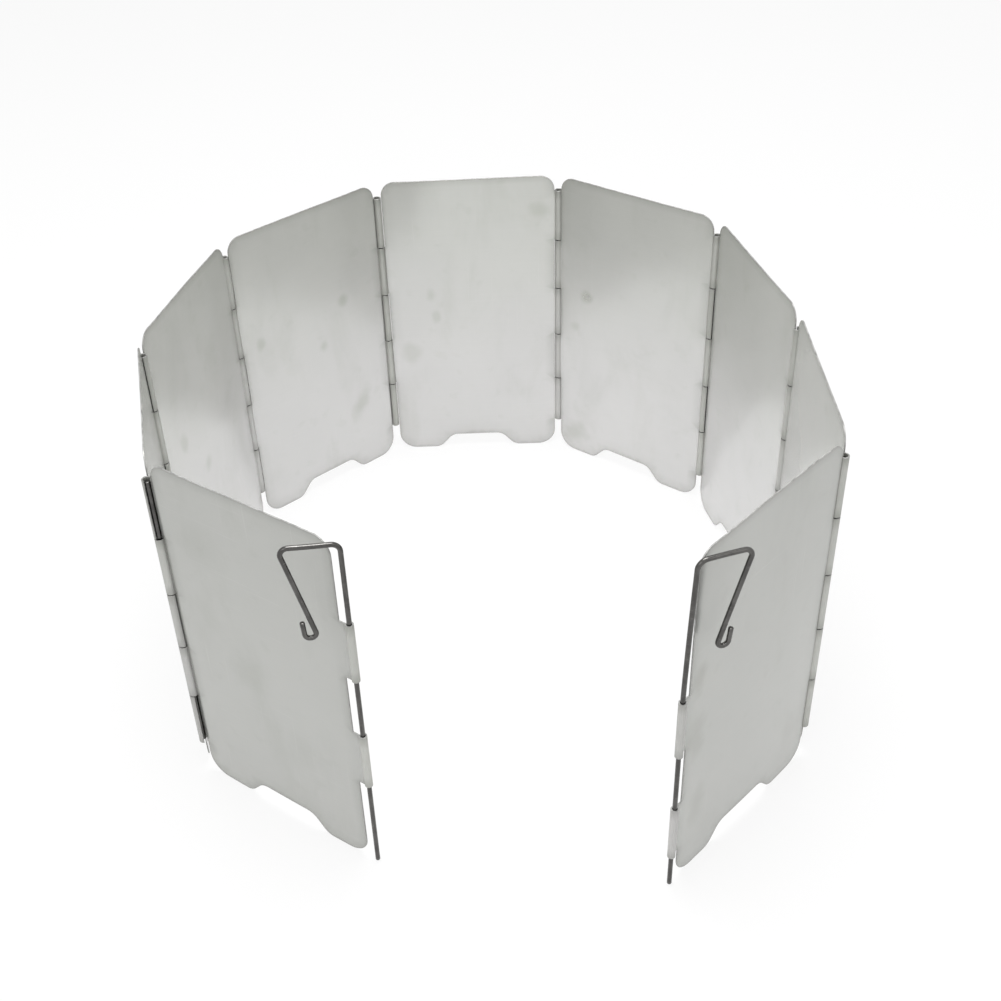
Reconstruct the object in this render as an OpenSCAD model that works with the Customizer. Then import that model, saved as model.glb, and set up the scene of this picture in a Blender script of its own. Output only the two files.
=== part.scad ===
// Folding camp-stove windscreen: nine hinged aluminium plates standing as an open ring,
// with a hooked steel wire stake in the free edge of each end plate.
// Millimetres, +Z up, feet on Z = 0, origin under the middle of the ring, open front towards -Y.

/* [Plates] */
// Distance between the two hinge axes of a plate
plate_pitch = 83; // [76:0.5:90]
// Height of a plate from its feet to its upper edge
plate_height = 145.5; // [130:0.5:160]
// Thickness of the aluminium sheet
sheet = 0.5; // [0.4:0.05:0.6]
// Radius of the two upper corners
top_corner = 6.5; // [4:0.5:9]
// Radius of the two lower corners
foot_corner = 8.5; // [6.5:0.5:11]

/* [Vent] */
// Height of the cut-out between the feet
vent_height = 7.2; // [5.4:0.2:9]
// Width of the cut-out along its level top
vent_width = 25; // [19:1:30]
// Sideways run of each sloping shoulder
vent_slope = 6.5; // [5:0.5:8.5]
// Radius where a shoulder meets the level edges
vent_round = 6; // [4:0.25:7]

/* [Hinges] */
// Drop from the upper edge to the top knuckle
hinge_drop = 7; // [5:0.25:9]
// Height of the lowest knuckle above the floor
hinge_lift = 14.5; // [12:0.5:17]
// Diameter of the hinge pins
wire_d = 2; // [1.8:0.05:2.2]
// Radial play of a pin in its knuckles
running_fit = 0.15; // [0.05:0.01:0.25]
// Distance of the sheet from the hinge axis, to the open side of the fold
axis_offset = 0.4; // [0.34:0.02:0.5]
// Play between a knuckle and the next one along the hinge
knuckle_play = 0.4; // [0.2:0.05:0.6]
// Play between a knuckle and the edge of the other plate
edge_play = 0.35; // [0.2:0.05:1]
// Distance from a stake's axis to the cut-back edge of its end plate
free_notch = 3.8; // [3:0.1:4.5]
// Width of the seam left open where a knuckle is rolled shut
seam = 0.3; // [0.2:0.05:0.4]
// Depth of a pin below the open ends of its hinge
pin_recess = 1.2; // [0.5:0.1:2]

/* [Stakes] */
// Radius by which the stake wire is thinner than a hinge pin, so that it slides in its knuckles
stake_play = 0.15; // [0.05:0.01:0.2]
// Length of the level bar from the rod axis to the outer corner
bar_length = 18.8; // [16:0.2:22]
// Height of the bar above the upper edge
bar_rise = 0; // [-1:0.25:2]
// Bend radius between the rod and the bar
bar_bend = 3; // [2:0.25:4]
// Bend radius between the bar and the slanting leg
leg_bend = 2.5; // [2:0.25:3.5]
// Slant of the leg from upright, in degrees
leg_slant = 13.4; // [8:0.2:16]
// Length of the leg from the outer corner to the hooked end
leg_length = 35.2; // [28:0.2:40]
// Bend radius of the hooked end
hook_bend = 1.8; // [1.5:0.1:2.2]
// Turn of the hooked end, in degrees
hook_turn = 190; // [170:1:196]
// Length of the straight tip of the hooked end
hook_tip = 5; // [3:0.25:7]
// Height of the stake tip above the floor
tip_lift = 0.25; // [0:0.05:1]
// Length of the bevel at the stake tip
tip_bevel = 0.5; // [0.2:0.05:0.8]
// Swing of the left hook from its plate, in degrees
left_swing = 44.5; // [30:0.5:60]
// Swing of the right hook from its plate, in degrees
right_swing = 28; // [20:0.5:45]

/* [Standing shape] */
// Bend at hinge 1, in degrees
bend_1 = 43.6; // [40:0.1:47]
// Bend at hinge 2, in degrees
bend_2 = 25.5; // [22:0.1:29]
// Bend at hinge 3, in degrees
bend_3 = 35.3; // [32:0.1:39]
// Bend at hinge 4, in degrees
bend_4 = 40.7; // [37:0.1:44]
// Bend at hinge 5, in degrees
bend_5 = 40; // [37:0.1:43]
// Bend at hinge 6, in degrees
bend_6 = 37.8; // [34:0.1:41]
// Bend at hinge 7, in degrees
bend_7 = 13.7; // [10:0.1:17]
// Bend at hinge 8, in degrees
bend_8 = 42.3; // [39:0.1:46]

/* [Hidden] */
$fn = 64;
bends = [bend_1, bend_2, bend_3, bend_4, bend_5, bend_6, bend_7, bend_8];
plates = 9;
back = (plates + 1) / 2;  // the plate that faces the open front
segments = 5;             // knuckles along one hinge
wire_r = wire_d / 2;
stake_r = wire_r - stake_play;
knuckle_r = wire_r + running_fit + sheet;
hinge_top = plate_height - hinge_drop;
segment = (hinge_top - hinge_lift) / segments;
bar_z = plate_height + bar_rise;
sheet_run = sqrt(pow(plate_pitch, 2) - pow(2 * axis_offset, 2));
bend_swell = 0.03;        // extra radius of the wire in its bends
bend_lap = 0.2;           // run of a straight length into a bend

aluminium = [0.74, 0.75, 0.73];
steel = [0.55, 0.56, 0.57];

// Plan of the ring: axis 0 and axis 9 are the free edges, axes 1 to 8 the hinges.
function heading(i) = i == back ? 0
    : i < back ? heading(i + 1) + bends[i - 1] : heading(i - 1) - bends[i - 2];
function step(i) = plate_pitch * [cos(heading(i)), sin(heading(i))];
function chain(i) = i == 0 ? [0, 0] : chain(i - 1) + step(i);
chain_x = [for (i = [0:plates]) chain(i)[0]];
chain_y = [for (i = [0:plates]) chain(i)[1]];
middle = [min(chain_x) + max(chain_x), min(chain_y) + max(chain_y)] / 2;
function axis_at(i) = chain(i) - middle;

// Even axes lie on the inner side of the sheet and fold inwards, odd axes the other way.
function axis_side(i) = (i % 2 == 0 ? -1 : 1) * axis_offset;
// Distance from an axis to the plate edges beside its knuckles.
function edge_in(i) = i == 0 || i == plates ? free_notch : knuckle_r + edge_play;
// Turn of a plate's sheet out of the line between its two axes.
function sheet_turn(i) = -atan2(axis_side(i) - axis_side(i - 1), sheet_run);

// Knuckles from the top: a plate carries 1, 3, 5 towards the next plate, 2 and 4 towards the last.
// The last plate has no top knuckle on its free edge.
function next_knuckles(i) = i == plates ? [2, 4] : [0, 2, 4];
last_knuckles = [1, 3];
function knuckle_z(k) = hinge_top - (k + 1) * segment + knuckle_play / 2;
knuckle_length = segment - knuckle_play;

// Sliver between a corner and the arc that rounds it; the two edges leave at angles a and b.
module sliver(corner, a, b, r) {
    half = abs(b - a) / 2;
    run = r / tan(half);
    centre = corner + r / sin(half) * [cos((a + b) / 2), sin((a + b) / 2)];
    difference() {
        polygon([corner, corner + run * [cos(a), sin(a)], centre, corner + run * [cos(b), sin(b)]]);
        translate(centre) circle(r);
    }
}

// Right half of the vent, its middle at x = 0.
module half_vent() {
    top = vent_width / 2;
    foot = top + vent_slope;
    fall = atan2(vent_height, vent_slope);
    below = 1;
    difference() {
        union() {
            polygon([[0, -below], [foot, -below], [foot, 0], [top, vent_height], [0, vent_height]]);
            sliver([foot, 0], 0, 180 - fall, vent_round);
        }
        sliver([top, vent_height], 180, 360 - fall, vent_round);
    }
}

// Flat outline of a plate without its hinge tabs, from edge to edge: x along the plate, y upwards.
module plate_outline(near, far) {
    difference() {
        translate([near, 0]) square([far - near, plate_height]);
        sliver([near, plate_height], -90, 0, top_corner);
        sliver([far, plate_height], 180, 270, top_corner);
        sliver([near, 0], 0, 90, foot_corner);
        sliver([far, 0], 90, 180, foot_corner);
        translate([sheet_run / 2, 0]) {
            half_vent();
            mirror([1, 0]) half_vent();
        }
    }
}

// Rolled knuckles along one edge: the axis lies at [0, side], the plate lies towards +X.
module knuckle_row(list, side, edge) {
    lap = 0.5;
    for (k = list) translate([0, 0, knuckle_z(k)]) difference() {
        union() {
            translate([0, side, 0]) cylinder(r = knuckle_r, h = knuckle_length);
            translate([0, -sheet / 2, 0]) cube([edge + lap, sheet, knuckle_length]);
        }
        translate([0, side, -1]) cylinder(r = wire_r + running_fit, h = knuckle_length + 2);
        translate([0, side > 0 ? sheet / 2 : -sheet / 2 - seam, -1])
            cube([knuckle_r * 2, seam, knuckle_length + 2]);
    }
}

// One plate in its own frame: sheet on y = 0, first axis at x = 0, inner side towards -Y.
module plate(i) {
    near = edge_in(i - 1);
    far = edge_in(i);
    translate([0, sheet / 2, 0]) rotate([90, 0, 0]) linear_extrude(sheet)
        plate_outline(near, sheet_run - far);
    knuckle_row(last_knuckles, axis_side(i - 1), near);
    translate([sheet_run, 0, 0]) mirror([1, 0, 0]) knuckle_row(next_knuckles(i), axis_side(i), far);
}

module panel(i) {
    color(aluminium) translate(axis_at(i - 1)) rotate(heading(i) + sheet_turn(i))
        translate([0, -axis_side(i - 1), 0]) plate(i);
}

module pin(i) {
    color(steel) translate(axis_at(i)) translate([0, 0, hinge_lift + pin_recess])
        cylinder(r = wire_r, h = hinge_top - hinge_lift - 2 * pin_recess);
}

// Straight and bent lengths of wire in the upright plane y = 0, angles from +X towards +Z.
// A straight length runs on into the bends beside it, which are a little fuller than the wire.
module wire_run(from, angle, length, before = bend_lap, after = bend_lap) {
    translate([from[0], 0, from[1]]) rotate([0, 90 - angle, 0]) translate([0, 0, -before])
        cylinder(r = stake_r, h = before + length + after);
}

module wire_bend(centre, r, start, sweep) {
    translate([centre[0], 0, centre[1]]) rotate([90, 0, 0]) rotate(start)
        rotate_extrude(angle = sweep) translate([r, 0]) circle(stake_r + bend_swell);
}

// Stake in its own frame: rod on the Z axis, hook towards +X.
module stake() {
    fall = leg_slant + 90;
    leg = [-sin(leg_slant), -cos(leg_slant)];
    out = [cos(leg_slant), -sin(leg_slant)];
    cut_back = leg_bend * tan(fall / 2);
    corner = [bar_length - cut_back, bar_z - leg_bend];
    leg_start = corner + leg_bend * out;
    hook_centre = leg_start + (leg_length - cut_back) * leg + hook_bend * out;
    hook_end = hook_turn + 180 - leg_slant;
    bevel_top = tip_lift + tip_bevel;

    translate([0, 0, tip_lift]) cylinder(r1 = stake_r - tip_bevel / 2, r2 = stake_r, h = tip_bevel);
    wire_run([0, bevel_top], 90, bar_z - bar_bend - bevel_top, before = 0);
    wire_bend([bar_bend, bar_z - bar_bend], bar_bend, 90, 90);
    wire_run([bar_bend, bar_z], 0, corner[0] - bar_bend);
    wire_bend(corner, leg_bend, -leg_slant, fall);
    wire_run(leg_start, -fall, leg_length - cut_back);
    wire_bend(hook_centre, hook_bend, 180 - leg_slant, hook_turn);
    wire_run(hook_centre + hook_bend * [cos(hook_end), sin(hook_end)], hook_end + 90, hook_tip, after = 0);
}

module panel_1() { panel(1); }
module panel_2() { panel(2); }
module panel_3() { panel(3); }
module panel_4() { panel(4); }
module panel_5() { panel(5); }
module panel_6() { panel(6); }
module panel_7() { panel(7); }
module panel_8() { panel(8); }
module panel_9() { panel(9); }

module pin_1() { pin(1); }
module pin_2() { pin(2); }
module pin_3() { pin(3); }
module pin_4() { pin(4); }
module pin_5() { pin(5); }
module pin_6() { pin(6); }
module pin_7() { pin(7); }
module pin_8() { pin(8); }

module left_stake() {
    color(steel) translate(axis_at(0)) rotate(heading(1) + left_swing) stake();
}

module right_stake() {
    color(steel) translate(axis_at(plates)) rotate(heading(plates) + 180 - right_swing) stake();
}

panel_1();
panel_2();
panel_3();
panel_4();
panel_5();
panel_6();
panel_7();
panel_8();
panel_9();
pin_1();
pin_2();
pin_3();
pin_4();
pin_5();
pin_6();
pin_7();
pin_8();
left_stake();
right_stake();
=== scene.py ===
import math
import random
from collections import namedtuple

import bmesh
import bpy
import numpy as np
from mathutils import Matrix, Vector
from mathutils.geometry import delaunay_2d_cdt


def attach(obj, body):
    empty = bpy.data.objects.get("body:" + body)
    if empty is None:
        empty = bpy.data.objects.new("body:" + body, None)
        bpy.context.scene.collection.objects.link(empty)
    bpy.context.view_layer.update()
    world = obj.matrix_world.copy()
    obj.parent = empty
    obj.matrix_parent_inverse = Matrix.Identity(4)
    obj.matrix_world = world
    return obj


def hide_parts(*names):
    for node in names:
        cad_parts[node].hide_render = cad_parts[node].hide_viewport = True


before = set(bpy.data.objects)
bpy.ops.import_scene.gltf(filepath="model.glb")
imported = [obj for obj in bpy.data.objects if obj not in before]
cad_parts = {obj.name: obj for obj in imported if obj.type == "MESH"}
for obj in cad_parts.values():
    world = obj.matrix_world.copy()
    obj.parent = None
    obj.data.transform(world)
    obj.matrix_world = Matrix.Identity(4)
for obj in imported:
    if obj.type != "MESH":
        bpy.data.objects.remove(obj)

scene = bpy.context.scene
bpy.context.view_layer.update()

# Sizes of the part, in millimetres and degrees, as in its source.
MM = 0.001
PLATES, BACK, SEGMENTS = 9, 5, 5
PITCH, HEIGHT, SHEET = 83.0, 145.5, 0.5
TOP_CORNER, FOOT_CORNER = 6.5, 8.5
VENT_HEIGHT, VENT_WIDTH, VENT_SLOPE, VENT_ROUND = 7.2, 25.0, 6.5, 6.0
HINGE_DROP, HINGE_LIFT, WIRE_R = 7.0, 14.5, 1.0
AXIS_OFFSET, KNUCKLE_PLAY, FREE_NOTCH = 0.4, 0.4, 3.8
PIN_RECESS, STAKE_PLAY = 1.2, 0.15
BAR_LENGTH, BAR_BEND, LEG_BEND, LEG_SLANT, LEG_LENGTH = 18.8, 3.0, 2.5, 13.4, 35.2
HOOK_BEND, HOOK_TURN, HOOK_TIP = 1.8, 190.0, 5.0
TIP_LIFT = 0.25
LEFT_SWING, RIGHT_SWING = 44.5, 28.0
BENDS = (43.6, 25.5, 35.3, 40.7, 40.0, 37.8, 13.7, 42.3)

STAKE_R = WIRE_R - STAKE_PLAY
HINGE_TOP = HEIGHT - HINGE_DROP
SEGMENT = (HINGE_TOP - HINGE_LIFT) / SEGMENTS
RUN = math.sqrt(PITCH ** 2 - (2 * AXIS_OFFSET) ** 2)

# Looks of the shapes that the solids leave plain.
HINGE_TUBE, STAKE_TUBE = 1.78, 1.42  # outer radius of the rolled knuckles round the pins and the stakes
EDGE_PLAY = 0.14       # gap between a knuckle and the edge of the other plate
ROLL_NECK = 0.6        # radius of the reverse bend between a plate and its rolled knuckle
ROLL_GAP = 3.0         # angle left open between the end of a roll and its plate
ROLL_GAPS = {(1, 0): 80.0, (1, 4): 42.0}  # wider ones, by plate and knuckle from the top; a guess
NECK_DIRT_AND_SHADE = 0.2        # strength of the dark line in the bend beside a knuckle: dirt and painted shade in the crease
NECK_LINE_AT, NECK_LINE_WIDTH = 0.32, 0.4  # place of that line from the start of the bend, and its width
EDGE_WEAR = 1.2        # reach of the wear along the edges
EDGE_BEVEL = 0.09      # rounding of the cut edges
WAVE = 0.12            # height of one ripple of a plate
DENT = 0.10            # depth of a dent
WAVES, DENTS = 4, 6    # ripples and dents of one plate
DENT_RADII = 4.5, 9.0
DENT_SIDE, DENT_LOW, DENT_HIGH = 16, 14, 10  # margins of the dents: by the axes, below, above
STIFF_EDGE, STIFF_FADE = 4.0, 14.0           # flat strip by an axis, and width of its fading out
LEAN_FROM, LEAN_CURVE = 90.0, 1.3  # height at which the lean of a rod begins, and the power by which it grows
BAR_BOW = 0.15, 0.25   # sideways bow of a stake's bar, least and most
END_BEVEL = 0.22       # bevel at the cut ends of a wire
BEVEL_STEPS = ((0.0, 1.0), (0.45, 0.35), (1.2, 0.0))  # shares of it along the wire and off the radius

# Fineness of the meshes.
GRID = 4.0             # spacing of the points inside a plate
LONG_EDGE = 1.5 * GRID  # edges longer than this are divided
RING, RING_CLEAR = 1.0, 0.8        # row of points along the outline, and its least distance from it
GRID_CLEAR, ROLL_CLEAR = 1.6, 0.6  # least distance of the inner points from the outline and from the tabs
WELD_DIGITS, WELD = 5, 1e-5
ROLL_ROWS = 5          # rows of faces along a knuckle
NECK_STEPS, ROLL_STEPS = 5, 26     # lines of points across the neck of a knuckle and round it
ARC_STEP, WIRE_STEP = 7.5, 1.5     # degrees of an arc, and length of a straight wire, between two points
PIN_POINTS, PIN_SIDES, STAKE_SIDES = 12, 16, 20
SHARP_PLATE, SHARP_WIRE = 32, 40   # angles from which an edge is sharp
UV_UNIT = 100.0        # millimetres to one unit of the UV maps
RIPPLE_SEED = 100

# How each stake is bent, as fitted to the photograph: rise of its bar in degrees, drop of the bar, length
# of the bar, slant of the leg, and lean of the rod's upper end towards its plate.
Bent = namedtuple("Bent", "rise drop bar slant lean")
LEFT_BENT = Bent(3.8, 0.0, BAR_LENGTH, LEG_SLANT, 0.0)
RIGHT_BENT = Bent(0.0, 1.2, BAR_LENGTH - 0.7, LEG_SLANT + 1.6, 1.9)


def heading(i):
    """Direction of plate i in the plan, in degrees."""
    if i == BACK:
        return 0.0
    return heading(i + 1) + BENDS[i - 1] if i < BACK else heading(i - 1) - BENDS[i - 2]


def plan():
    """Hinge axes in the plan, from the left free edge to the right one."""
    points = [np.zeros(2)]
    for i in range(1, PLATES + 1):
        a = math.radians(heading(i))
        points.append(points[-1] + PITCH * np.array([math.cos(a), math.sin(a)]))
    points = np.array(points)
    return points - (points.min(0) + points.max(0)) / 2


AXES = plan()


def axis_side(i):
    """Offset of axis i from the middle of the sheet; below zero is the inner side."""
    return -AXIS_OFFSET if i % 2 == 0 else AXIS_OFFSET


def edge_in(i):
    """Distance of a plate's cut edge from axis i."""
    return FREE_NOTCH if i in (0, PLATES) else HINGE_TUBE + EDGE_PLAY


def knuckle_span(k):
    """Lower and upper end of knuckle k from the top."""
    low = HINGE_TOP - (k + 1) * SEGMENT + KNUCKLE_PLAY / 2
    return low, low + SEGMENT - KNUCKLE_PLAY


def plate_matrix(i):
    """Place of plate i: X runs along it from its first axis, Y towards its outer side."""
    turn = -math.atan2(axis_side(i) - axis_side(i - 1), RUN)
    return (Matrix.Translation((AXES[i - 1][0], AXES[i - 1][1], 0))
            @ Matrix.Rotation(math.radians(heading(i)) + turn, 4, "Z")
            @ Matrix.Translation((0, -axis_side(i - 1), 0)))


def new_object(name, verts, faces, body, node):
    mesh = bpy.data.meshes.new(name)
    mesh.from_pydata(verts, [], faces)
    mesh.validate()
    obj = bpy.data.objects.new(name, mesh)
    scene.collection.objects.link(obj)
    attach(obj, body)
    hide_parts(node)
    return obj


# Rolled knuckle: the way of the sheet from the plate round the hinge axis.
class Roll:
    """Middle of the sheet beside one axis: e is the distance from the axis, y the height off the plate."""

    def __init__(self, axis, gap=ROLL_GAP):
        self.centre = axis_side(axis)
        self.r = (STAKE_TUBE if axis in (0, PLATES) else HINGE_TUBE) - SHEET / 2
        self.away = -1.0 if self.centre > 0 else 1.0
        rise = self.away * ROLL_NECK - self.centre
        self.start = math.sqrt((self.r + ROLL_NECK) ** 2 - rise ** 2)
        self.first = math.atan2(rise, self.start)
        self.wrap = 2 * math.pi - abs(self.first) - math.radians(gap)
        self.neck_length = ROLL_NECK * math.atan2(self.start, abs(rise))

    def at(self, q):
        """Point and normal after q of sheet from the start of the roll."""
        s = self.away
        if q <= self.neck_length:
            a = q / ROLL_NECK
            nx, ny = -math.sin(a), -s * math.cos(a)
            p = (self.start + ROLL_NECK * nx, s * ROLL_NECK + ROLL_NECK * ny)
            return p, (-s * nx, -s * ny)
        a = self.first + s * (q - self.neck_length) / self.r
        c, d = math.cos(a), math.sin(a)
        return (self.r * c, self.centre + self.r * d), (s * c, s * d)

    def steps(self):
        """Lengths along the roll at which the mesh has a line of points."""
        neck = [self.neck_length * k / NECK_STEPS for k in range(NECK_STEPS + 1)]
        length = self.r * self.wrap
        return neck + [self.neck_length + length * k / ROLL_STEPS for k in range(1, ROLL_STEPS + 1)]


class Tab:
    """Hinge tab of plate i in its flat blank: knuckle k from the top, on the first edge or the last."""

    def __init__(self, i, k):
        self.first = k % 2 == 1
        axis = i - 1 if self.first else i
        self.roll = Roll(axis, ROLL_GAPS.get((i, k), ROLL_GAP))
        self.edge = edge_in(axis) if self.first else RUN - edge_in(axis)
        self.low, self.high = knuckle_span(k)

    def across(self, q):
        return self.roll.start - q if self.first else RUN - self.roll.start + q

    def dirt_and_shade_at(self, points):
        """Darkening at points of the blank: a soft line of dirt and painted shade in the bend beside the
        knuckle.
        """
        q = self.roll.start - points[:, 0] if self.first else points[:, 0] - RUN + self.roll.start
        level = (points[:, 1] >= self.low) & (points[:, 1] <= self.high)
        return NECK_DIRT_AND_SHADE * level * np.exp(-((q - NECK_LINE_AT) / NECK_LINE_WIDTH) ** 2)

    def up(self, j):
        return self.low + (self.high - self.low) * j / ROLL_ROWS

    def outline(self):
        """Edge of the tab, from below upwards."""
        steps = self.roll.steps()
        lower = [(self.edge, self.low)] + [(self.across(q), self.low) for q in steps]
        end = [(self.across(steps[-1]), self.up(j)) for j in range(1, ROLL_ROWS)]
        upper = [(self.across(q), self.high) for q in reversed(steps)] + [(self.edge, self.high)]
        return lower + end + upper

    def lines(self):
        """Upright lines of points across the tab."""
        return [[(self.across(q), self.up(j)) for j in range(ROLL_ROWS + 1)]
                for q in self.roll.steps()[:-1]]


def arc(centre, r, a0, a1):
    """Points of an arc, with both ends; angles in degrees."""
    n = max(2, int(abs(a1 - a0) / ARC_STEP))
    return [(centre[0] + r * math.cos(math.radians(a0 + (a1 - a0) * k / n)),
             centre[1] + r * math.sin(math.radians(a0 + (a1 - a0) * k / n))) for k in range(n + 1)]


def along(a, b, step=GRID):
    """Points between a and b."""
    n = max(1, int(math.dist(a, b) / step))
    return [(a[0] + (b[0] - a[0]) * k / n, a[1] + (b[1] - a[1]) * k / n) for k in range(1, n)]


def vent_points():
    """Lower edge across the vent, from left to right."""
    middle, top = RUN / 2, VENT_WIDTH / 2
    foot = top + VENT_SLOPE
    fall = math.degrees(math.atan2(VENT_HEIGHT, VENT_SLOPE))
    run = VENT_ROUND * math.tan(math.radians(fall / 2))
    left = arc((middle - foot - run, VENT_ROUND), VENT_ROUND, 270, 270 + fall)
    left += arc((middle - top + run, VENT_HEIGHT - VENT_ROUND), VENT_ROUND, 90 + fall, 90)
    return left + [(2 * middle - x, z) for x, z in reversed(left)]


def blank(i):
    """Outline of plate i's flat blank, counter-clockwise, and its hinge tabs."""
    near, far = edge_in(i - 1), RUN - edge_in(i)
    last = [Tab(i, k) for k in ((4, 2) if i == PLATES else (4, 2, 0))]
    first = [Tab(i, k) for k in (1, 3)]
    outline = arc((near + FOOT_CORNER, FOOT_CORNER), FOOT_CORNER, 180, 270) + vent_points()
    outline += arc((far - FOOT_CORNER, FOOT_CORNER), FOOT_CORNER, 270, 360)
    for tab in last:
        outline += tab.outline()
    outline += arc((far - TOP_CORNER, HEIGHT - TOP_CORNER), TOP_CORNER, 0, 90)
    outline += arc((near + TOP_CORNER, HEIGHT - TOP_CORNER), TOP_CORNER, 90, 180)
    for tab in first:
        outline += reversed(tab.outline())
    filled = []
    for a, b in zip(outline, outline[1:] + outline[:1]):
        if math.dist(a, b) > WELD / 10:
            filled.append(a)
            if math.dist(a, b) > LONG_EDGE:
                filled += along(a, b)
    return np.array(filled), first + last


def inset(loop, depth):
    """The closed counter-clockwise loop moved inwards."""
    before, after = np.roll(loop, 1, 0), np.roll(loop, -1, 0)
    d0, d1 = loop - before, after - loop
    d0 /= np.linalg.norm(d0, axis=1)[:, None]
    d1 /= np.linalg.norm(d1, axis=1)[:, None]
    n0, n1 = np.stack([-d0[:, 1], d0[:, 0]], 1), np.stack([-d1[:, 1], d1[:, 0]], 1)
    mitre = n0 + n1
    return loop + mitre * (2 * depth / (mitre ** 2).sum(1))[:, None]


def boundary_distance(points, loop):
    """Distance of each point from the closed loop."""
    a, b = loop, np.roll(loop, -1, 0)
    d = b - a
    best = np.full(len(points), 1e9)
    for p0, v in zip(a, d):
        w = points - p0
        t = np.clip((w @ v) / (v @ v), 0, 1)
        best = np.minimum(best, np.linalg.norm(w - t[:, None] * v, axis=1))
    return best


def is_inside(points, loop):
    a, b = loop, np.roll(loop, -1, 0)
    hit = np.zeros(len(points), bool)
    for (x0, z0), (x1, z1) in zip(a, b):
        if z0 != z1:
            cross = ((z0 > points[:, 1]) != (z1 > points[:, 1]))
            hit ^= cross & (points[:, 0] < (x1 - x0) * (points[:, 1] - z0) / (z1 - z0) + x0)
    return hit


def ripples(i):
    """Slow ripples and dents of a plate, which fade out towards its axes."""
    dice = random.Random(RIPPLE_SEED + i)
    waves = [(dice.uniform(0.5, 1.0) * WAVE, dice.uniform(0.3, 1.1) / PITCH, dice.uniform(0.25, 0.9) / HEIGHT,
              dice.uniform(0, 1), dice.choice((-1, 1))) for _ in range(WAVES)]
    dents = [(dice.uniform(DENT_SIDE, RUN - DENT_SIDE), dice.uniform(DENT_LOW, HEIGHT - DENT_HIGH),
              dice.uniform(*DENT_RADII), dice.choice((-1, 1)) * dice.uniform(0.4, 1.0) * DENT)
             for _ in range(DENTS)]

    def height(x, z):
        h = sum(a * math.sin(2 * math.pi * (fx * x + s * fz * z + ph)) for a, fx, fz, ph, s in waves)
        h += sum(d * math.exp(-((x - cx) ** 2 + (z - cz) ** 2) / (2 * r * r)) for cx, cz, r, d in dents)
        t = max(0.0, min(1.0, (min(x, RUN - x) - STIFF_EDGE) / STIFF_FADE))
        return h * t * t * (3 - 2 * t)
    return height


def fill(loop, tabs, near, far):
    """Triangles inside a blank: its points, the triangles, and the points that lie along the outline."""
    inner = inset(loop, EDGE_BEVEL)
    ring = inset(loop, RING)
    grid = np.array([(x, z) for x in np.arange(GRID, RUN, GRID) for z in np.arange(GRID / 2, HEIGHT, GRID)])
    spare = np.concatenate([ring[boundary_distance(ring, loop) > RING_CLEAR],
                            grid[is_inside(grid, loop) & (boundary_distance(grid, loop) > GRID_CLEAR)]])
    spare = spare[(spare[:, 0] > near + ROLL_CLEAR) & (spare[:, 0] < far - ROLL_CLEAR)]
    points = [tuple(p) for p in np.concatenate([inner, spare])]
    on_edge = {(round(x, WELD_DIGITS), round(z, WELD_DIGITS)): k for k, (x, z) in enumerate(loop)}
    ties = []
    for line in (line for tab in tabs for line in tab.lines()):
        first = len(points)
        points += line[1:-1]
        ends = [on_edge[round(x, WELD_DIGITS), round(z, WELD_DIGITS)] for x, z in (line[0], line[-1])]
        chain = [ends[0], *range(first, len(points)), ends[1]]
        ties += zip(chain, chain[1:])
    out = delaunay_2d_cdt([Vector(p) for p in points], ties, [list(range(len(loop)))], 1, WELD)
    where = {o: k for k, group in enumerate(out[3]) for o in group}
    return [tuple(v) for v in out[0]], out[2], [where[k] for k in range(len(loop))]


def make_plate(i):
    loop, tabs = blank(i)
    near, far = edge_in(i - 1), RUN - edge_in(i)
    flat, triangles, rim = fill(loop, tabs, near, far)
    rolls = Roll(i - 1), Roll(i)
    wavy = ripples(i)
    place = plate_matrix(i)

    def lift(u, z, h):
        if u < rolls[0].start:
            (x, y), (nx, ny) = rolls[0].at(rolls[0].start - u)
        elif u > RUN - rolls[1].start:
            (e, y), (nx, ny) = rolls[1].at(u - RUN + rolls[1].start)
            x, nx = RUN - e, -nx
        else:
            x, y, nx, ny = u, wavy(u, z), 0.0, 1.0
        return (place @ Vector((x + h * nx, y + h * ny, z))) * MM

    half, m, n = SHEET / 2, len(flat), len(loop)
    upper, lower = 2 * m, 2 * m + n
    verts = [lift(u, z, half) for u, z in flat] + [lift(u, z, -half) for u, z in flat]
    verts += [lift(u, z, half - EDGE_BEVEL) for u, z in loop]
    verts += [lift(u, z, EDGE_BEVEL - half) for u, z in loop]
    faces = [tuple(reversed(t)) for t in triangles] + [tuple(v + m for v in t) for t in triangles]
    sides = len(faces)
    for k in range(n):
        j = (k + 1) % n
        faces.append((rim[k], rim[j], upper + j, upper + k))
        faces.append((upper + k, upper + j, lower + j, lower + k))
        faces.append((lower + k, lower + j, m + rim[j], m + rim[k]))
    obj = new_object(f"plate_sheet_{i}", verts, faces, f"plate_{i}", f"panel_{i}")
    mesh = obj.data
    for f in mesh.polygons:
        f.material_index = 0 if f.index < sides else 1
        f.use_smooth = True
    flat_uv = np.array(flat * 2 + [tuple(p) for p in loop] * 2)
    rolled = (flat_uv[:, 0] < rolls[0].start) | (flat_uv[:, 0] > RUN - rolls[1].start)
    set_values(mesh, "edge_near", np.exp(-boundary_distance(flat_uv, loop) / EDGE_WEAR))
    set_values(mesh, "inner_side", [0.0] * m + [1.0] * m + [0.5] * (2 * n))
    set_values(mesh, "rolled", rolled)
    set_values(mesh, "dirt_and_shade", sum(tab.dirt_and_shade_at(flat_uv) for tab in tabs))
    uv = mesh.uv_layers.new(name="blank")
    for corner in mesh.loops:
        uv.data[corner.index].uv = flat_uv[corner.vertex_index] / UV_UNIT
    tidy_normals(mesh, SHARP_PLATE)
    return obj


def set_values(mesh, name, values):
    mesh.attributes.new(name, "FLOAT", "POINT").data.foreach_set("value", np.array(values, np.float32))


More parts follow.
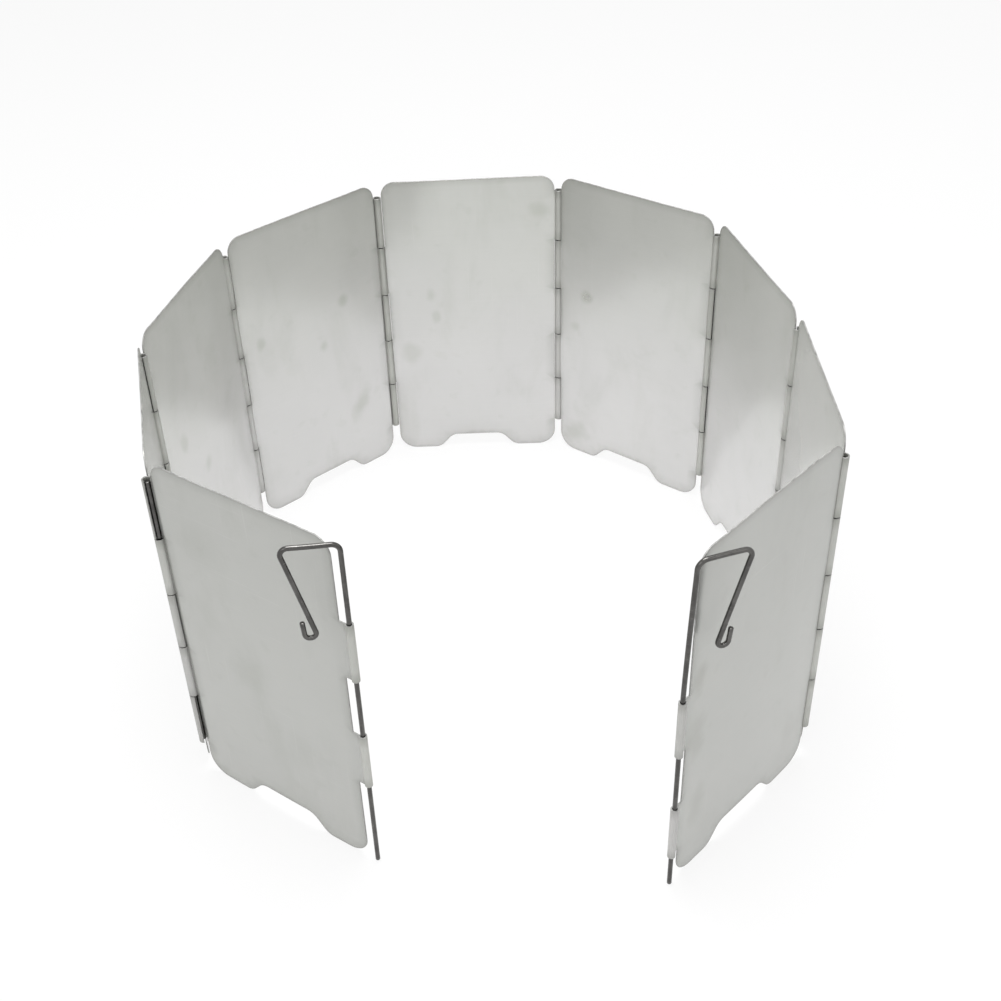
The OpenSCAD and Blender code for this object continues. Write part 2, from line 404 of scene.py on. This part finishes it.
def tidy_normals(mesh, angle):
    """Turns the faces outwards and marks the sharp edges."""
    bm = bmesh.new()
    bm.from_mesh(mesh)
    bmesh.ops.recalc_face_normals(bm, faces=bm.faces)
    bm.to_mesh(mesh)
    bm.free()
    mesh.set_sharp_from_angle(angle=math.radians(angle))


# Wires: a round section swept along a line of points.
def sweep(path, radii, sides):
    path = [Vector(p) for p in path]
    tangents = []
    for k in range(len(path)):
        a, b = path[max(0, k - 1)], path[min(len(path) - 1, k + 1)]
        tangents.append((b - a).normalized())
    up = Vector((0, 1, 0))
    verts, faces, lengths, run = [], [], [], 0.0
    for k, (p, t) in enumerate(zip(path, tangents)):
        side = up - t * up.dot(t)
        side.normalize()
        over = t.cross(side)
        for j in range(sides):
            a = 2 * math.pi * j / sides
            verts.append(p + (side * math.cos(a) + over * math.sin(a)) * radii[k])
        run += (p - path[k - 1]).length if k else 0.0
        lengths.append(run)
    for k in range(len(path) - 1):
        for j in range(sides):
            h = (j + 1) % sides
            faces.append((k * sides + j, k * sides + h, (k + 1) * sides + h, (k + 1) * sides + j))
    faces.append(tuple(range(sides)))
    faces.append(tuple((len(path) - 1) * sides + j for j in reversed(range(sides))))
    return verts, faces, lengths


def make_wire(name, path, radii, place, body, node, sides):
    verts, faces, lengths = sweep(path, radii, sides)
    obj = new_object(name, [(place @ v) * MM for v in verts], faces, body, node)
    mesh = obj.data
    uv = mesh.uv_layers.new(name="blank")
    for f in mesh.polygons:
        f.use_smooth = True
        js = [mesh.loops[c].vertex_index % sides for c in f.loop_indices]
        for c, j in zip(f.loop_indices, js):
            k = mesh.loops[c].vertex_index // sides
            turn = 1.0 if j == 0 and max(js) > sides / 2 else j / sides
            uv.data[c].uv = (turn * 2 * math.pi * WIRE_R / UV_UNIT, lengths[k] / UV_UNIT)
    tidy_normals(mesh, SHARP_WIRE)
    return obj


def ended(path, r):
    """Adds the small bevels at both cut ends of a wire, and gives the radius at each point."""
    path = [Vector(p) for p in path]
    first, last = (path[1] - path[0]).normalized(), (path[-1] - path[-2]).normalized()
    start = [path[0] + first * END_BEVEL * far for far, _ in BEVEL_STEPS]
    end = [path[-1] - last * END_BEVEL * far for far, _ in reversed(BEVEL_STEPS)]
    thin = [r - END_BEVEL * off for _, off in BEVEL_STEPS]
    return start + path[1:-1] + end, thin + [r] * (len(path) - 2) + thin[::-1]


def fillet(a, b, c, r):
    """Arc of radius r that rounds the corner b between a and c."""
    to_a, to_c = (a - b).normalized(), (c - b).normalized()
    half = to_a.angle(to_c) / 2
    centre = b + (to_a + to_c).normalized() * (r / math.sin(half))
    out_a, out_c = (b + leg * (r / math.tan(half)) - centre for leg in (to_a, to_c))
    start = math.degrees(math.atan2(out_a.y, out_a.x))
    turn = (math.degrees(math.atan2(out_c.y, out_c.x)) - start + 180) % 360 - 180
    return [Vector(p) for p in arc(centre, r, start, start + turn)]


def stake_path(bent, lean_angle, seed):
    """Middle line of a stake: rod on the Z axis, hook towards +X."""
    rise, slant = math.radians(bent.rise), math.radians(bent.slant)
    foot, shoulder = Vector((0, TIP_LIFT)), Vector((0, HEIGHT - bent.drop))
    corner = shoulder + bent.bar * Vector((math.cos(rise), math.sin(rise)))
    leg_end = corner - LEG_LENGTH * Vector((math.sin(slant), math.cos(slant)))
    hook = leg_end + HOOK_BEND * Vector((math.cos(slant), -math.sin(slant)))
    curl = [Vector(p) for p in arc(hook, HOOK_BEND, 180 - bent.slant, 180 - bent.slant + HOOK_TURN)]
    turn = math.radians(180 - bent.slant + HOOK_TURN)
    tip = curl[-1] + HOOK_TIP * Vector((-math.sin(turn), math.cos(turn)))
    bar, leg = fillet(foot, shoulder, corner, BAR_BEND), fillet(shoulder, corner, leg_end, LEG_BEND)
    line = []
    for k, bend in enumerate(([foot], bar, leg, curl, [tip])):
        line += along(line[-1], bend[0], WIRE_STEP) if k else []
        line += bend
    bow = random.Random(seed).uniform(*BAR_BOW)
    path = []
    for x, z in line:
        on_rod = x < WIRE_R and z < shoulder.y
        t = max(0.0, z - LEAN_FROM) / (shoulder.y - LEAN_FROM) if on_rod else 1.0
        off = bent.lean * t ** LEAN_CURVE
        y = 0.0 if on_rod else bow * math.sin(math.pi * min(1.0, x / bent.bar))
        path.append((x + off * math.cos(lean_angle), y + off * math.sin(lean_angle), z))
    return path


def make_stake(name, axis, turn, bent, lean_angle, seed):
    path, radii = ended(stake_path(bent, lean_angle, seed), STAKE_R)
    place = Matrix.Translation((*AXES[axis], 0)) @ Matrix.Rotation(math.radians(turn), 4, "Z")
    return make_wire(f"{name}_wire", path, radii, place, name, name, STAKE_SIDES)


def make_pin(i):
    low, high = HINGE_LIFT + PIN_RECESS, HINGE_TOP - PIN_RECESS
    path, radii = ended([(0, 0, z) for z in np.linspace(low, high, PIN_POINTS)], WIRE_R)
    place = Matrix.Translation((*AXES[i], 0))
    return make_wire(f"hinge_wire_{i}", path, radii, place, f"plate_{i}", f"pin_{i}", PIN_SIDES)


plates = {i: make_plate(i) for i in range(1, PLATES + 1)}
pins = [make_pin(i) for i in range(1, PLATES)]
stakes = [make_stake("left_stake", 0, heading(1) + LEFT_SWING, LEFT_BENT, lean_angle=0.0, seed=11),
          make_stake("right_stake", PLATES, heading(PLATES) + 180 - RIGHT_SWING,
                     RIGHT_BENT, lean_angle=math.radians(RIGHT_SWING / 2), seed=12)]


# Materials.
class Tree:
    """Node tree of a new material. Inputs are given by name, or by number as i0, i1 and so on."""

    def __init__(self, name):
        self.material = bpy.data.materials.new(name)
        self.material.use_nodes = True
        self.tree = self.material.node_tree
        self.tree.nodes.clear()
        self.out = self.tree.nodes.new("ShaderNodeOutputMaterial")

    def node(self, kind, settings=None, **inputs):
        made = self.tree.nodes.new(kind)
        for key, value in (settings or {}).items():
            setattr(made, key, value)
        for key, value in inputs.items():
            numbered = key[0] == "i" and key[1:].isdigit()
            self.set(made, int(key[1:]) if numbered else key.replace("_", " "), value)
        return made

    def set(self, made, key, value):
        socket = made.inputs[key]
        if isinstance(value, bpy.types.NodeSocket):
            self.tree.links.new(value, socket)
        else:
            socket.default_value = value

    def math(self, op, a, b=0.0, clamp=False):
        return self.node("ShaderNodeMath", {"operation": op, "use_clamp": clamp}, i0=a, i1=b).outputs[0]

    def remap(self, value, low, high, to_low=0.0, to_high=1.0):
        made = self.node("ShaderNodeMapRange", {"interpolation_type": "SMOOTHSTEP"},
                         i0=value, i1=low, i2=high, i3=to_low, i4=to_high)
        return made.outputs[0]

    def attribute(self, name):
        return self.node("ShaderNodeAttribute", {"attribute_name": name}).outputs["Fac"]

    def mapped(self, vector, at=(0, 0, 0), turn=0.0, scale=(1, 1, 1), kind="POINT"):
        made = self.node("ShaderNodeMapping", {"vector_type": kind}, Vector=vector, Location=at,
                         Rotation=(0, 0, turn), Scale=scale)
        return made.outputs[0]

    def noise(self, vector, scale, detail=3.0, rough=0.5, warp=0.0):
        made = self.node("ShaderNodeTexNoise", {"noise_dimensions": "3D"}, Vector=vector, Scale=scale,
                         Detail=detail, Roughness=rough, Distortion=warp)
        return made.outputs[0]

    def surface(self, colour, metallic, rough, bump):
        """Ends the tree in one shader and gives the material."""
        shader = self.node("ShaderNodeBsdfPrincipled", Base_Color=colour, Metallic=metallic, Roughness=rough,
                           Normal=bump)
        self.tree.links.new(shader.outputs[0], self.out.inputs[0])
        return self.material

    def blend(self, factor, a, b, mode="MIX"):
        made = self.tree.nodes.new("ShaderNodeMix")
        made.data_type, made.blend_type = "RGBA", mode
        for key, value in ((0, factor), (6, a), (7, b)):
            self.set(made, key, value)
        return made.outputs[2]


def add_marks(t, uv, marks, rough):
    """Soft stains at the given places of a plate: across, up, half width, half height, turn, strength."""
    total = None
    for x, z, rx, rz, turn, strength in marks:
        at, size = (x / UV_UNIT, z / UV_UNIT, 0), (rx / UV_UNIT, rz / UV_UNIT, 1)
        spot = t.mapped(uv, at, math.radians(turn), size, "TEXTURE")
        far = t.node("ShaderNodeVectorMath", {"operation": "LENGTH"}, i0=spot).outputs[1]
        far = t.math("ADD", far, t.math("MULTIPLY", t.math("SUBTRACT", rough, 0.5), 1.2))
        one = t.remap(far, 0.2, 1.2, strength, 0.0)
        total = one if total is None else t.math("ADD", total, one)
    return total


def tone(share, rgb):
    """Colour with a share of the brightness of rgb."""
    return tuple(share * v for v in rgb) + (1.0,)


# The same for all plates: share of the clean sheet's brightness on the inner side and on the outer side,
# whose darker tone is painted shade, and strength of the painted shade on their upper part. The light of the
# photograph isn't known, so these are fitted guesses.
INSIDE_TONE, OUTSIDE_SHADED_TONE, UPPER_SHADE_STRENGTH = 0.85, 0.65, 0.20
SHEET_LIGHT, SHEET_DARK = (0.801, 0.795, 0.788), (0.769, 0.765, 0.757)
TINT = (0.983, 1.0, 0.965, 1)      # olive tint of the outside and of the upper part of the inside
UPPER_SHADE = (0.70, 0.71, 0.685, 1)      # painted shade that darkens the upper part of the sheet
STAIN = (0.74, 0.75, 0.71, 1)
ROLLED_SIDE = (0.6, 0.6, 0.6, 1)   # tone of the rolled knuckles, from the outside's, 0, to the inside's, 1
ROLLED_DARKER = (0.90, 0.90, 0.89, 1)     # darker tone of the rolled knuckles
# dark line of dirt and painted shade in the bend beside each knuckle
DIRT_AND_SHADE = (0.22, 0.22, 0.21, 1)
WORN_EDGE = (0.72, 0.72, 0.71, 1)
SCRATCH = (0.86, 0.86, 0.85, 1)
GRAIN_SHADE = (0.90, 0.90, 0.89, 1)
SMEARED, SPOTTED, SCRATCHED, GRAINED = 0.22, 0.12, 0.07, 0.14  # strengths in the colour
SHEET_METALLIC, SHEET_ROUGH = 0.58, (0.17, 0.22)
STAIN_ROUGH, GRAIN_ROUGH, ROLLED_ROUGH = 0.10, 0.04, 0.30      # what each adds to the roughness
GRAIN_RELIEF, PIT_RELIEF, SCRATCH_RELIEF = 0.12, 0.10, 0.5

CUT_DARK, CUT_LIGHT = (0.27, 0.27, 0.26, 1), (0.46, 0.46, 0.45, 1)
CUT_METALLIC, CUT_ROUGH = 0.9, (0.42, 0.62)

STEEL_DARK, STEEL_LIGHT = (0.085, 0.083, 0.080, 1), (0.130, 0.127, 0.122, 1)
SCUFF, SCUFFED = (0.36, 0.355, 0.345, 1), 0.25
STEEL_METALLIC, STEEL_ROUGH, DRAWN_ROUGH = 1.0, (0.22, 0.15), 0.06


def aluminium(i, marks):
    """Sheet of plate i: the same for all plates but for the place of its noise and its stains."""
    t = Tree(f"satin_aluminium_{i}")
    uv = t.node("ShaderNodeUVMap", {"uv_map": "blank"}).outputs[0]
    inner, rolled, edge, dirt_and_shade = (t.attribute(name) for name in ("inner_side", "rolled", "edge_near", "dirt_and_shade"))
    place = t.mapped(uv, (i * 3.17, i * 1.93, i * 0.71))
    cloud = t.noise(place, 2.3, 3.0, 0.55)
    smear = t.noise(t.mapped(place, scale=(1.0, 0.45, 1.0)), 4.5, 4.0, 0.6, 0.4)
    spots = t.noise(place, 13.0, 2.0, 0.5)
    grain = t.noise(t.mapped(place, scale=(5.0, 420.0, 1.0)), 1.0, 3.0, 0.65)
    pits = t.noise(place, 160.0, 2.0, 0.5)
    scratch_a = t.noise(t.mapped(place, turn=0.5, scale=(3.0, 190.0, 1.0)), 1.0, 1.0, 0.4)
    scratch_b = t.noise(t.mapped(place, turn=-0.9, scale=(150.0, 2.6, 1.0)), 1.0, 1.0, 0.4)
    lines = t.math("ADD", t.remap(scratch_a, 0.70, 0.78), t.remap(scratch_b, 0.71, 0.79), True)
    height = t.node("ShaderNodeSeparateXYZ", i0=uv).outputs[1]

    stain = t.math("MULTIPLY", t.remap(smear, 0.48, 0.76), SMEARED)
    stain = t.math("ADD", stain, t.math("MULTIPLY", t.remap(spots, 0.60, 0.76), SPOTTED))
    outer = t.remap(inner, 0.0, 1.0, 1.0, 0.0)
    if marks:
        side = outer if i in (1, PLATES) else inner
        stain = t.math("ADD", stain, t.math("MULTIPLY", add_marks(t, uv, marks, spots), side))
    stain = t.math("MINIMUM", stain, 1.0)
    uneven = t.math("MULTIPLY", t.math("SUBTRACT", cloud, 0.5), 0.5)
    upper = t.remap(t.math("ADD", height, uneven), 0.35, 1.45)
    # painted shade: the sheet darker towards its top, on both sides
    upper_shade = t.math("MULTIPLY", upper, UPPER_SHADE_STRENGTH)

    clean = t.remap(cloud, 0.3, 0.7)
    # painted shade: the outer side of the sheet gets a darker tone than the inner side
    inside, shaded_outside = (t.blend(clean, tone(share, SHEET_DARK), tone(share, SHEET_LIGHT))
                       for share in (INSIDE_TONE, OUTSIDE_SHADED_TONE))
    colour = t.blend(t.blend(rolled, inner, ROLLED_SIDE), shaded_outside, inside)
    colour = t.blend(t.math("MAXIMUM", upper, outer), colour, TINT, "MULTIPLY")
    # painted shade on the upper part of the sheet
    colour = t.blend(upper_shade, colour, UPPER_SHADE, "MULTIPLY")
    colour = t.blend(stain, colour, STAIN, "MULTIPLY")
    colour = t.blend(t.math("MULTIPLY", lines, SCRATCHED), colour, SCRATCH)
    streaks = t.math("MULTIPLY", t.remap(grain, 0.35, 0.75), GRAINED)
    colour = t.blend(streaks, colour, GRAIN_SHADE, "MULTIPLY")
    # dirt and painted shade: a dark line in the bend beside each knuckle
    colour = t.blend(dirt_and_shade, colour, DIRT_AND_SHADE, "MULTIPLY")
    colour = t.blend(rolled, colour, ROLLED_DARKER, "MULTIPLY")
    colour = t.blend(edge, colour, WORN_EDGE, "MULTIPLY")

    rough = t.math("ADD", t.remap(cloud, 0.25, 0.75, *SHEET_ROUGH), t.math("MULTIPLY", stain, STAIN_ROUGH))
    rough = t.math("ADD", rough, t.math("MULTIPLY", t.math("SUBTRACT", grain, 0.5), GRAIN_ROUGH))
    rough = t.math("ADD", rough, t.math("MULTIPLY", rolled, ROLLED_ROUGH))
    relief = t.math("ADD", t.math("MULTIPLY", grain, GRAIN_RELIEF), t.math("MULTIPLY", pits, PIT_RELIEF))
    relief = t.math("SUBTRACT", relief, t.math("MULTIPLY", lines, SCRATCH_RELIEF))
    bump = t.node("ShaderNodeBump", Strength=0.10, Distance=0.00006, Height=relief).outputs[0]
    return t.surface(colour, SHEET_METALLIC, rough, bump)


def cut_edge():
    t = Tree("aluminium_cut_edge")
    uv = t.node("ShaderNodeUVMap", {"uv_map": "blank"}).outputs[0]
    nicks = t.noise(uv, 45.0, 4.0, 0.6)
    colour = t.blend(t.remap(nicks, 0.35, 0.7), CUT_DARK, CUT_LIGHT)
    rough = t.remap(nicks, 0.3, 0.7, *CUT_ROUGH)
    bump = t.node("ShaderNodeBump", Strength=0.3, Distance=0.0001, Height=nicks).outputs[0]
    return t.surface(colour, CUT_METALLIC, rough, bump)


def steel(name, seed):
    t = Tree(name)
    uv = t.node("ShaderNodeUVMap", {"uv_map": "blank"}).outputs[0]
    place = t.mapped(uv, (seed * 1.3, seed * 2.9, seed * 0.7))
    drawn = t.noise(t.mapped(place, scale=(900.0, 9.0, 1.0)), 1.0, 2.0, 0.6)
    patches = t.noise(place, 16.0, 4.0, 0.6)
    scuffs = t.remap(t.noise(t.mapped(place, scale=(60.0, 220.0, 1.0)), 1.0, 2.0, 0.5), 0.62, 0.75)
    base = t.blend(t.remap(patches, 0.35, 0.7), STEEL_DARK, STEEL_LIGHT)
    colour = t.blend(t.math("MULTIPLY", scuffs, SCUFFED), base, SCUFF)
    rough = t.math("ADD", t.remap(patches, 0.3, 0.7, *STEEL_ROUGH), t.math("MULTIPLY", drawn, DRAWN_ROUGH))
    bump = t.node("ShaderNodeBump", Strength=0.12, Distance=0.00005, Height=drawn).outputs[0]
    return t.surface(colour, STEEL_METALLIC, rough, bump)


# Stains that the photograph shows on each plate, in the order of add_marks.
MARKS = {
    1: [(50, 66, 11, 10, 0, 0.22), (29, 41, 8, 10, 20, 0.14), (63, 117, 14, 10, 0, 0.14)],
    3: [(19, 85, 3.5, 5.5, 20, 0.45), (36, 64, 3.5, 4.5, 0, 0.45)],
    4: [(58.6, 95.5, 3.2, 3.6, 0, 0.60), (45, 76, 2.8, 3.4, 0, 0.48), (11.5, 91, 2.8, 3.6, 0, 0.45),
        (63, 36, 5, 10, -35, 0.50)],
    5: [(22, 87.5, 2.6, 4.2, 10, 0.40), (24, 75.5, 2.6, 4.2, 0, 0.40), (10.5, 56, 6, 7, 0, 0.36),
        (74.5, 128.8, 6, 5, 0, 0.40)],
    6: [(16.5, 89, 3.2, 3.8, 0, 0.60), (10.5, 71, 3.2, 3.2, 0, 0.35), (10.8, 10.3, 9, 7, 30, 0.55)],
    9: [(74, 92, 4, 8, 10, 0.48), (74, 66, 6, 13, -10, 0.42), (70, 30, 5, 11, 0, 0.35)],
}
rim_metal = cut_edge()
for i, obj in plates.items():
    obj.data.materials.append(aluminium(i, MARKS.get(i, [])))
    obj.data.materials.append(rim_metal)
wire_metal = steel("drawn_steel_stakes", 1)
pin_metal = steel("drawn_steel_pins", 2)
for obj in stakes:
    obj.data.materials.append(wire_metal)
for obj in pins:
    obj.data.materials.append(pin_metal)


# Stage: pale floor, soft light.
FLOOR_GLOW = 0.84      # share of plain white in the floor as it is seen, beside the light that falls on it
FLOOR_HALF, FLOOR_COLOUR = 6.0, (0.86, 0.86, 0.86, 1)
WHITE = (1, 1, 1, 1)
SKY_LOW, SKY_HIGH, SKY_TOP = (0.44, 0.44, 0.44, 1), (0.54, 0.54, 0.54, 1), 0.8


def background_rays(tree):
    """1 for the rays that show the background: to the camera, off metal or through glass."""
    seen = tree.nodes.new("ShaderNodeLightPath")
    shown = seen.outputs["Is Camera Ray"]
    for kind in ("Is Glossy Ray", "Is Transmission Ray"):
        most = tree.nodes.new("ShaderNodeMath")
        most.operation = "MAXIMUM"
        tree.links.new(shown, most.inputs[0])
        tree.links.new(seen.outputs[kind], most.inputs[1])
        shown = most.outputs[0]
    return shown


def make_floor():
    mesh = bpy.data.meshes.new("floor")
    s = FLOOR_HALF
    mesh.from_pydata([(-s, -s, 0), (s, -s, 0), (s, s, 0), (-s, s, 0)], [], [(0, 1, 2, 3)])
    floor = bpy.data.objects.new("floor", mesh)
    scene.collection.objects.link(floor)
    t = Tree("floor_white")
    glow = t.math("MULTIPLY", background_rays(t.tree), FLOOR_GLOW)
    matt = t.node("ShaderNodeBsdfDiffuse", Color=FLOOR_COLOUR)
    white = t.node("ShaderNodeEmission", Color=WHITE, Strength=1.0)
    mixed = t.node("ShaderNodeMixShader", i0=glow, i1=matt.outputs[0], i2=white.outputs[0])
    t.tree.links.new(mixed.outputs[0], t.out.inputs[0])
    mesh.materials.append(t.material)


def make_world():
    world = bpy.data.worlds.new("studio")
    scene.world = world
    world.use_nodes = True
    tree = world.node_tree
    tree.nodes.clear()
    out = tree.nodes.new("ShaderNodeOutputWorld")
    back = tree.nodes.new("ShaderNodeBackground")
    where = tree.nodes.new("ShaderNodeTexCoord")
    split = tree.nodes.new("ShaderNodeSeparateXYZ")
    ramp = tree.nodes.new("ShaderNodeValToRGB")
    tree.links.new(where.outputs["Generated"], split.inputs[0])
    tree.links.new(split.outputs[2], ramp.inputs[0])
    low, high = ramp.color_ramp.elements
    low.position, low.color = 0.0, SKY_LOW
    high.position, high.color = SKY_TOP, SKY_HIGH
    tree.links.new(ramp.outputs[0], back.inputs[0])
    back.inputs[1].default_value = 1.0
    white = tree.nodes.new("ShaderNodeBackground")
    white.inputs[0].default_value, white.inputs[1].default_value = WHITE, 1.0
    mix = tree.nodes.new("ShaderNodeMixShader")
    tree.links.new(background_rays(tree), mix.inputs[0])
    tree.links.new(back.outputs[0], mix.inputs[1])
    tree.links.new(white.outputs[0], mix.inputs[2])
    tree.links.new(mix.outputs[0], out.inputs[0])


def softbox(name, at, target, size, power):
    light = bpy.data.lights.new(name, "AREA")
    light.shape, light.size, light.size_y, light.energy = "RECTANGLE", size, size, power
    obj = bpy.data.objects.new(name, light)
    scene.collection.objects.link(obj)
    obj.location = at
    obj.rotation_mode = "QUATERNION"
    obj.rotation_quaternion = (Vector(target) - Vector(at)).to_track_quat("-Z", "Y")


make_floor()
make_world()
softbox("top", at=(0.0, 0.03, 1.05), target=(0, 0, 0), size=0.6, power=9.5)
softbox("front_left", at=(-0.9, -1.1, 1.2), target=(0, 0, 0.05), size=0.8, power=5)
softbox("front_right", at=(0.9, -1.1, 1.2), target=(0, 0, 0.05), size=0.8, power=1.5)

# Camera, from a fit to the hinge ends in the photograph.
IMAGE = 1001
FOCAL_PX = 1357.2
CENTRE_PX = (442.6, 498.9)
CAMERA_AT = (0.00660, -0.44145, 0.39449)
ELEVATION, AZIMUTH, ROLL = 36.42, -2.54, 3.62
SENSOR, CLIP_START = 36.0, 0.01    # millimetres, metres


def make_camera():
    el, az, roll = (math.radians(a) for a in (ELEVATION, AZIMUTH, ROLL))
    forward = Vector((math.sin(az) * math.cos(el), math.cos(az) * math.cos(el), -math.sin(el)))
    level = Vector((math.cos(az), -math.sin(az), 0))
    sink = forward.cross(level)
    right = math.cos(roll) * level + math.sin(roll) * sink
    down = math.cos(roll) * sink - math.sin(roll) * level
    data = bpy.data.cameras.new("camera")
    data.sensor_fit, data.sensor_width, data.clip_start = "HORIZONTAL", SENSOR, CLIP_START
    data.lens = FOCAL_PX / IMAGE * SENSOR
    data.shift_x = (IMAGE / 2 - CENTRE_PX[0]) / IMAGE
    data.shift_y = (CENTRE_PX[1] - IMAGE / 2) / IMAGE
    camera = bpy.data.objects.new("camera", data)
    scene.collection.objects.link(camera)
    m = Matrix.Identity(4)
    for k in range(3):
        m[k][0], m[k][1], m[k][2], m[k][3] = right[k], -down[k], -forward[k], CAMERA_AT[k]
    camera.matrix_world = m
    scene.camera = camera


make_camera()
scene.view_settings.view_transform = "Standard"
